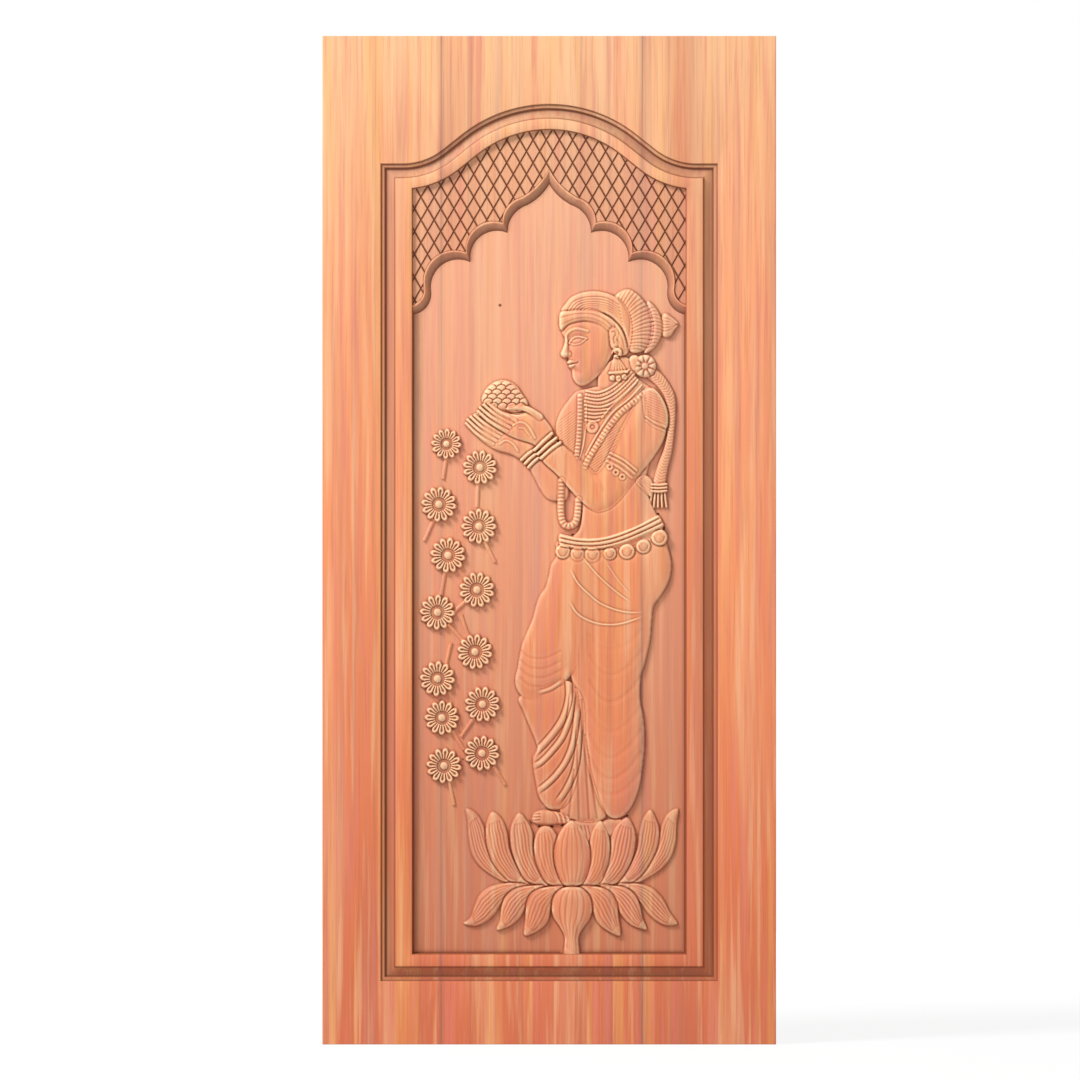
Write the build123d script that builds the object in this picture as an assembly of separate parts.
from build123d import *
from math import atan2, cos, hypot, radians, sin, tan
import os

# A carved door leaf, glued up from three upright boards. The moulding, the recessed panel, the cusped arch with its
# lattice, the daisies, the lotus and the standing woman are all cut out of the boards' own thickness.
# The origin is at the middle of the foot, half way through the thickness. +Z is up, and the carved face looks to -Y.

# The leaf, and the boards at its two sides. The middle board takes what is left between them.
leaf_width = 914
leaf_height = 2032
leaf_thickness = 38
edge_ease = 1
left_board_width = 239
right_board_width = 270

# The joint between two boards: a tongue on the middle board in a groove of its neighbour, with room for glue
tongue_thickness = 8
tongue_reach = 12
glue_room = 1

# The moulding round the panel, from its outer edge inwards: a step, a rising band, and a quirk up to the face
stile_width = 117
bottom_rail = 127
top_rail = 137
wall_batter = 2
step_depth = 4
step_width = 6
groove_depth = 9
groove_batter = 3
band_width = 17
band_top_depth = 3.5
quirk_width = 3

# The arched top of the moulding: level shoulders that sweep up to a round crown
arch_rise = 120
shoulder_width = 90
ramp_angle = radians(38.5)
sweep_radius = 131

# The recessed panel inside the moulding
panel_side_inset = 63
panel_foot_inset = 54
panel_crown_inset = 50.5
panel_depth = 14

# The cusped arch, from the wall to the point of its ogee: shares of the panel's half width, then the drop below the
# panel's crown. Every second point is half way round an arc. The bevel runs from the rim down to the foot line.
cusp_rim = [(1, 358), (0.918, 342), (0.903, 319), (0.809, 258), (0.6, 252), (0.544, 206), (0.334, 192), (0.296, 159),
            (0.198, 141), (0.078, 115), (0, 84)]
cusp_foot = [(1, 374), (0.889, 357), (0.859, 327), (0.762, 270), (0.574, 268), (0.509, 218), (0.303, 209),
             (0.253, 170), (0.162, 153), (0.065, 134), (0, 111)]
rim_depth = 5.5
rim_width = 3

# The lattice above the arch: V-shaped grooves that cross in diamonds, placed by one of their crossings
lattice_pitch = 26.6
lattice_angle = 60
lattice_groove_depth = 2.2
lattice_groove_half_width = 2.2
crossing_from_middle = 191.9
crossing_drop = 160

# Relief forms are rooted this far below the panel's ground. A form's section is the corners of its upper side, as
# shares of the half width and of the rise: rounded for limbs, keeled for petals and strands, flat for bands.
root = 1.5
rounded = [(1, 0.45), (0.5, 1), (-0.5, 1), (-1, 0.45)]
keeled = [(1, 0.4), (0, 1), (-1, 0.4)]
flat = [(0.6, 1), (-0.6, 1)]

# The daisies: centre from the panel's left wall, height over the panel's foot, and how far off the stalk's end is
daisy_radius = 36
petal_count = 12
petal_notch = 8
petal_rise = 9
petal_peak_radius = 26
button_radius = 8
button_seat = 1.5
button_rise = 8
stalk_width = 9
stalk_rise = 4
daisies = [(70, 1029, -7, -71), (137, 981, -6, -79), (55, 907, -30, -74), (135, 863, 33, -72), (73, 804, -14, -79),
           (131, 735, -48, -47), (51, 689, 52, -57), (127, 610, -28, 74), (52, 555, 27, 73), (143, 504, -44, -66),
           (61, 477, 44, -65), (142, 405, 46, -63), (65, 380, 20, -79)]

# The lotus: its axis, then for each petal the foot and the tip, out from the axis and up from the panel's foot, its
# width, its rise, and how far its midrib bows outwards. Each of these petals has a mirrored partner.
# A petal's shape is how far along it a station is, and the shares of its width and rise that it has there.
lotus_x = 44
lotus_petals = [(122, 150, 212, 291, 40, 7, 20), (92, 142, 156, 287, 48, 8.5, 16), (62, 138, 104, 284, 52, 10, 10),
                (32, 134, 57, 270, 56, 11.5, 6), (104, 132, 214, 61, 46, 7, 14), (74, 132, 151, 48, 50, 8.5, 10),
                (44, 130, 94, 38, 54, 10, 6)]
petal_shape = [(0, 0.55, 0.7), (0.35, 1, 1), (0.76, 0.78, 0.9), (1, 0.12, 0.4)]
lotus_front_petal = [(0, 132, 40, 11), (0, 170, 72, 13), (0, 222, 64, 12), (0, 260, 24, 9), (0, 273, 6, 5)]
lotus_heart = [(0, 140, 24, 9), (0, 100, 86, 12), (0, 56, 58, 11), (0, 28, 24, 8), (0, 0, 22, 7)]

# The woman's body. Each row is a station along a form: across from the door's centre line, up from the panel's foot,
# then the form's width there and its rise off the ground.
body = {
    "back_leg": [(166, 862, 116, 9), (170, 792, 150, 10.5), (150, 696, 124, 10.5), (128, 570, 122, 10),
                 (128, 440, 120, 10), (133, 320, 84, 9), (136, 270, 40, 5)],
    "front_thigh": [(84, 850, 110, 8), (62, 760, 129, 10), (46, 684, 152, 11), (24, 609, 160, 11), (-2, 548, 132, 10),
                    (-12, 512, 94, 7)],
    "front_shin": [(0, 531, 117, 7), (8, 483, 119, 8), (20, 427, 107, 9), (22, 380, 122, 9), (32, 324, 131, 8),
                   (54, 282, 112, 5)],
    "waist": [(128, 965, 150, 8), (138, 901, 147, 8.5), (134, 835, 196, 9)],
    "chest": [(130, 1146, 110, 5), (118, 1107, 179, 9), (106, 1057, 185, 10.5), (106, 1007, 161, 10),
              (126, 950, 147, 8)],
    "far_hand": [(-26, 986, 33, 7), (-46, 1012, 33, 8), (-86, 1034, 40, 8), (-128, 1054, 31, 7), (-166, 1086, 16, 5)],
    "upper_arm": [(206, 1140, 40, 8), (201, 1084, 76, 12), (184, 1036, 86, 13), (140, 976, 73, 13),
                  (98, 925, 60, 10)],
    "forearm": [(122, 915, 70, 11), (64, 952, 62, 13), (29, 988, 50, 12), (0, 1020, 46, 11)],
    "near_hand": [(4, 1018, 46, 11), (-40, 1058, 56, 12), (-81, 1078, 50, 11), (-112, 1092, 40, 10),
                  (-150, 1108, 16, 6)],
    "offering": [(-132, 1106, 30, 8), (-106, 1122, 74, 13), (-76, 1118, 70, 13), (-48, 1104, 30, 8)],
    "neck": [(130, 1190, 72, 8), (132, 1130, 104, 8)],
    "head": [(95, 1336, 50, 5), (96, 1310, 112, 10), (97, 1268, 140, 12), (97, 1228, 130, 12), (90, 1186, 90, 11),
             (84, 1148, 38, 8)],
    "hair_roll": [(160, 1336, 26, 6), (174, 1302, 50, 11), (185, 1250, 44, 12), (180, 1206, 24, 7)],
}

# Her hair and her smaller forms, in the same four sizes
strands = {
    "hair_bun": [(195, 1320, 22, 6), (208, 1286, 33, 9), (212, 1256, 30, 9), (203, 1220, 20, 6)],
    "hair_knot": [(214, 1266, 38, 6), (234, 1268, 46, 8), (262, 1269, 8, 4)],
    "braid": [(206, 1190, 20, 6), (240, 1130, 23, 8), (248, 1060, 17, 8), (233, 980, 19, 8), (220, 930, 22, 7)],
    "tassel": [(220, 938, 20, 6), (220, 900, 40, 4)],
    "nose": [(36, 1254, 10, 10), (26, 1226, 20, 11), (32, 1216, 16, 8)],
    "far_forearm": [(-30, 992, 30, 6), (-6, 959, 29, 7), (26, 922, 34, 6)],
    "front_foot": [(-35, 272, 16, 4), (-12, 275, 26, 7), (26, 278, 26, 6)],
}

# Her ornaments and the folds of her cloth, in the same four sizes
trim = {
    "headband": [(26, 1266, 30, 12), (60, 1282, 30, 13.5), (104, 1282, 30, 13.5), (130, 1260, 30, 12)],
    "earring": [(133, 1212, 14, 10), (136, 1184, 24, 11), (140, 1162, 30, 9)],
    "choker": [(60, 1126, 34, 9), (112, 1126, 42, 12), (160, 1160, 30, 9)],
    "garland": [(188, 1150, 18, 11), (138, 1098, 16, 13), (104, 1040, 16, 13), (78, 984, 14, 12)],
    "bead_loop_left": [(25, 955, 14, 8), (20, 915, 14, 9), (22, 878, 14, 9), (38, 862, 14, 10)],
    "bead_loop_right": [(60, 920, 14, 10), (58, 884, 14, 10), (44, 863, 14, 9)],
    "armlet": [(122, 1016, 18, 12), (156, 992, 20, 13.8), (186, 968, 18, 11)],
    "near_bangles": [(-18, 1006, 30, 9), (0, 1020, 34, 13), (20, 1034, 30, 9)],
    "girdle": [(24, 834, 32, 9), (78, 826, 32, 12.5), (150, 832, 32, 13), (198, 856, 32, 12), (228, 878, 28, 9)],
    "middle_fold": [(46, 768, 12, 11), (76, 716, 14, 12.5), (130, 690, 14, 12.5), (196, 694, 12, 10)],
    "lower_fold": [(40, 706, 12, 11), (72, 672, 14, 12.5), (136, 660, 14, 12.5), (192, 682, 12, 10)],
    "knee_drape": [(38, 560, 16, 12), (34, 520, 16, 12), (12, 468, 16, 11), (-14, 432, 16, 11), (-34, 404, 12, 8)],
}

# The pendants that hang from her girdle: across, up, radius
pendant_rise = 13
pendant_sides = 8
pendants = [(30, 809, 14), (60, 801, 13), (91, 800, 14), (124, 802, 12), (157, 809, 14), (191, 821, 13), (221, 839, 14)]

half_leaf = leaf_width / 2
left_joint = left_board_width - half_leaf
right_joint = half_leaf - right_board_width
panel_half_width = half_leaf - stile_width - panel_side_inset
panel_foot = bottom_rail + panel_foot_inset
panel_crown = leaf_height - top_rail - panel_crown_inset
back_y = leaf_thickness / 2
ground_y = panel_depth - back_y


def face_at(depth):
    return Plane(origin=(0, depth - back_y, 0), x_dir=(1, 0, 0), z_dir=(0, -1, 0))


def sinking(outline, depth):
    return extrude(face_at(depth) * outline, amount=depth)


def between(outer, outer_depth, inner, inner_depth):
    return loft([face_at(outer_depth) * outer, face_at(inner_depth) * inner], ruled=True)


def leaf_blank():
    blank = Pos(0, 0, leaf_height / 2) * Box(leaf_width, leaf_thickness, leaf_height)
    faces = blank.faces().sort_by(Axis.Y)
    return chamfer(faces[0].edges() + faces[-1].edges(), edge_ease)


def arched_outline(half_width, foot, inset):
    # The crown's radius follows from the ramp, which leaves the shoulder and has to meet the crown's height
    crown = leaf_height - top_rail - inset
    shoulder = crown - arch_rise
    ramp_reach = half_leaf - stile_width - shoulder_width
    flare = 1 / cos(ramp_angle) - 1
    crown_radius = (ramp_reach * tan(ramp_angle) - arch_rise) / flare - inset
    peak = crown + crown_radius * flare
    ramp_foot = (peak - shoulder) / tan(ramp_angle)
    tail = half_width + sweep_radius
    top = FilletPolyline(
        (-tail, shoulder), (-ramp_foot, shoulder), (0, peak), (ramp_foot, shoulder), (tail, shoulder),
        radius=[sweep_radius + inset, crown_radius, sweep_radius + inset],
    )
    sides = Polyline((tail, shoulder), (tail, foot), (-tail, foot), (-tail, shoulder))
    trimmed = Pos(0, (foot + peak) / 2) * Rectangle(2 * half_width, peak - foot)
    return make_face(top + sides) & trimmed


def moulding_outline(inset):
    return arched_outline(half_leaf - stile_width - inset, bottom_rail + inset, inset)


def panel_outline(inset=0):
    return arched_outline(panel_half_width - inset, panel_foot, panel_crown_inset + inset)


def moulding():
    step_end = wall_batter + step_width
    groove_foot = step_end + groove_batter
    band_top = groove_foot + band_width
    cut = between(moulding_outline(0), 0, moulding_outline(wall_batter), step_depth)
    cut += between(moulding_outline(step_end), step_depth, moulding_outline(groove_foot), groove_depth)
    core = between(moulding_outline(groove_foot), groove_depth, moulding_outline(band_top), band_top_depth)
    core += between(moulding_outline(band_top), band_top_depth, moulding_outline(band_top + quirk_width), 0)
    return cut - core


def cusp_points(shares):
    return [Vector(-share * panel_half_width, panel_crown - drop) for share, drop in shares]


def cusped_outline(left):
    right = [Vector(-point.X, point.Y) for point in reversed(left)]
    line = Polyline(right[-1], (panel_half_width, panel_foot), (-panel_half_width, panel_foot), left[0])
    for side in (left, right):
        for start in range(0, len(side) - 2, 2):
            line += ThreePointArc(*side[start:start + 3])
    return make_face(line)


def lattice_grooves(field):
    length = panel_crown - panel_foot
    count = int((2 * panel_half_width + length / 2) / lattice_pitch)
    half = 2 * lattice_groove_half_width
    above = -lattice_groove_depth
    section = Polyline((-half, above), (0, lattice_groove_depth), (half, above), close=True)
    groove = extrude(make_face(section), amount=length, both=True)
    grooves = []
    for lean in (-lattice_angle, lattice_angle):
        for step in range(-count, count + 1):
            crossing = Pos(step * lattice_pitch - crossing_from_middle, panel_crown - crossing_drop)
            turn = Rot(Z=lean) * Rot(Y=90) * Rot(Z=-90)
            cut = (face_at(rim_depth) * crossing * turn * groove) & field
            if cut and cut.volume > lattice_groove_depth ** 3:
                grooves.append(cut)
    return grooves


def sunk_panel():
    # What is cut away inside the moulding: down to the rim, then the niche below the arch, then the lattice
    rim = cusp_points(cusp_rim)
    foot = cusp_points(cusp_foot)
    lattice_edge = [near + (near - far).normalized() * rim_width for near, far in zip(rim, foot)]
    niche = between(cusped_outline(rim), rim_depth, cusped_outline(foot), panel_depth)
    field = panel_outline(rim_width) - cusped_outline(lattice_edge)
    return [sinking(panel_outline(), rim_depth), niche] + lattice_grooves(sinking(field, panel_depth))


def facet(*corners):
    return Face(Wire.make_polygon(corners))


def carve(stations, profile, middle=0):
    # Flat facets through sections that stand on the ground, each square to the line through its neighbours
    sections = []
    for index, (across, up, width, rise) in enumerate(stations):
        before = stations[max(index - 1, 0)]
        after = stations[min(index + 1, len(stations) - 1)]
        heading = atan2(after[1] - before[1], after[0] - before[0])
        place = Vector(middle + across, ground_y, panel_foot + up)
        outwards = Vector(-sin(heading), 0, cos(heading)) * (width / 2)
        corners = [(-1, -root), (1, -root)] + [(out, rise * lift) for out, lift in profile]
        sections.append([place + outwards * out - Vector(0, height, 0) for out, height in corners])
    facets = [facet(*sections[0]), facet(*sections[-1])]
    for near, far in zip(sections, sections[1:]):
        for here in range(len(near)):
            facets.append(facet(near[here - 1], near[here], far[here]))
            facets.append(facet(near[here - 1], far[here], far[here - 1]))
    return Solid(Shell(facets))


def ring(count, radius, height, turn=0):
    # Points round a circle that lies over the ground
    angles = [radians(360 / count * (step + turn)) for step in range(count)]
    return [Vector(radius * cos(angle), ground_y - height, radius * sin(angle)) for angle in angles]


def pendant(radius):
    base = ring(pendant_sides, radius, -root)
    peak = Vector(0, ground_y - pendant_rise, 0)
    return Solid(Shell([facet(*base)] + [facet(base[side - 1], base[side], peak) for side in range(pendant_sides)]))


def daisy():
    # Petals that rise to a peak near their tips and meet in valleys, round a pointed button
    valleys = ring(petal_count, daisy_radius - petal_notch, 0, -0.5)
    tips = ring(petal_count, daisy_radius, 0)
    peaks = ring(petal_count, petal_peak_radius, petal_rise)
    seat = ring(petal_count, button_radius, button_seat, -0.5)
    top = Vector(0, ground_y - button_rise, 0)
    outline = [point for pair in zip(valleys, tips) for point in pair]
    buried = [point + Vector(0, root, 0) for point in outline]
    facets = [facet(*buried)]
    facets += [facet(outline[at - 1], outline[at], buried[at], buried[at - 1]) for at in range(len(outline))]
    for petal, (tip, peak) in enumerate(zip(tips, peaks)):
        after = (petal + 1) % petal_count
        around = [seat[petal], valleys[petal], tip, valleys[after], seat[after]]
        facets += [facet(around[at - 1], around[at], peak) for at in range(len(around))]
        facets.append(facet(seat[petal], seat[after], top))
    return Solid(Shell(facets))


def daisy_sprays():
    flower = daisy()
    forms = []
    for from_wall, up, stalk_x, stalk_z in daisies:
        across = from_wall - panel_half_width
        forms.append(Pos(across, 0, panel_foot + up) * flower)
        stalk_end = (across + stalk_x, up + stalk_z, stalk_width, stalk_rise)
        forms.append(carve([(across, up, stalk_width, stalk_rise), stalk_end], flat))
    return forms


def lotus_petal(foot_x, foot_z, tip_x, tip_z, width, rise, bow, side):
    length = hypot(tip_x - foot_x, tip_z - foot_z)
    out_x = abs(tip_z - foot_z) / length
    out_z = (tip_x - foot_x) / length * (-1 if tip_z > foot_z else 1)
    stations = []
    for along, spread, lift in petal_shape:
        swing = 4 * bow * along * (1 - along)
        x = foot_x + (tip_x - foot_x) * along + out_x * swing
        z = foot_z + (tip_z - foot_z) * along + out_z * swing
        stations.append((side * x, z, width * spread, rise * lift))
    return carve(stations, keeled, lotus_x)


def lotus():
    petals = [lotus_petal(*petal, side) for petal in lotus_petals for side in (-1, 1)]
    return petals + [carve(lotus_front_petal, keeled, lotus_x), carve(lotus_heart, rounded, lotus_x)]


def woman():
    forms = []
    for group, profile in ((body, rounded), (strands, keeled), (trim, flat)):
        forms += [carve(stations, profile) for stations in group.values()]
    for across, up, radius in pendants:
        forms.append(Pos(across, 0, panel_foot + up) * pendant(radius))
    return forms


def carved_leaf():
    leaf = leaf_blank() - ([moulding()] + sunk_panel())
    for forms in (woman(), lotus(), daisy_sprays()):
        leaf += forms
    return leaf


def board_block(left, right):
    return Pos((left + right) / 2, 0, leaf_height / 2) * Box(right - left, leaf_thickness, leaf_height)


def joint_block(joint, reach):
    # Centred in the wood behind the panel, which is the thinnest
    return Pos(joint, (ground_y + back_y) / 2, leaf_height / 2) * Box(2 * reach, tongue_thickness, leaf_height)


def boards():
    groove_reach = tongue_reach + glue_room
    middle = board_block(left_joint, right_joint)
    middle += [joint_block(left_joint, tongue_reach), joint_block(right_joint, tongue_reach)]
    blocks = {
        "left_board": board_block(-half_leaf, left_joint) - joint_block(left_joint, groove_reach),
        "middle_board": middle,
        "right_board": board_block(right_joint, half_leaf) - joint_block(right_joint, groove_reach),
    }
    leaf = carved_leaf()
    return {name: leaf & block for name, block in blocks.items()}


os.makedirs("parts", exist_ok=True)
for name, board in boards().items():
    export_step(board, f"parts/{name}.step")
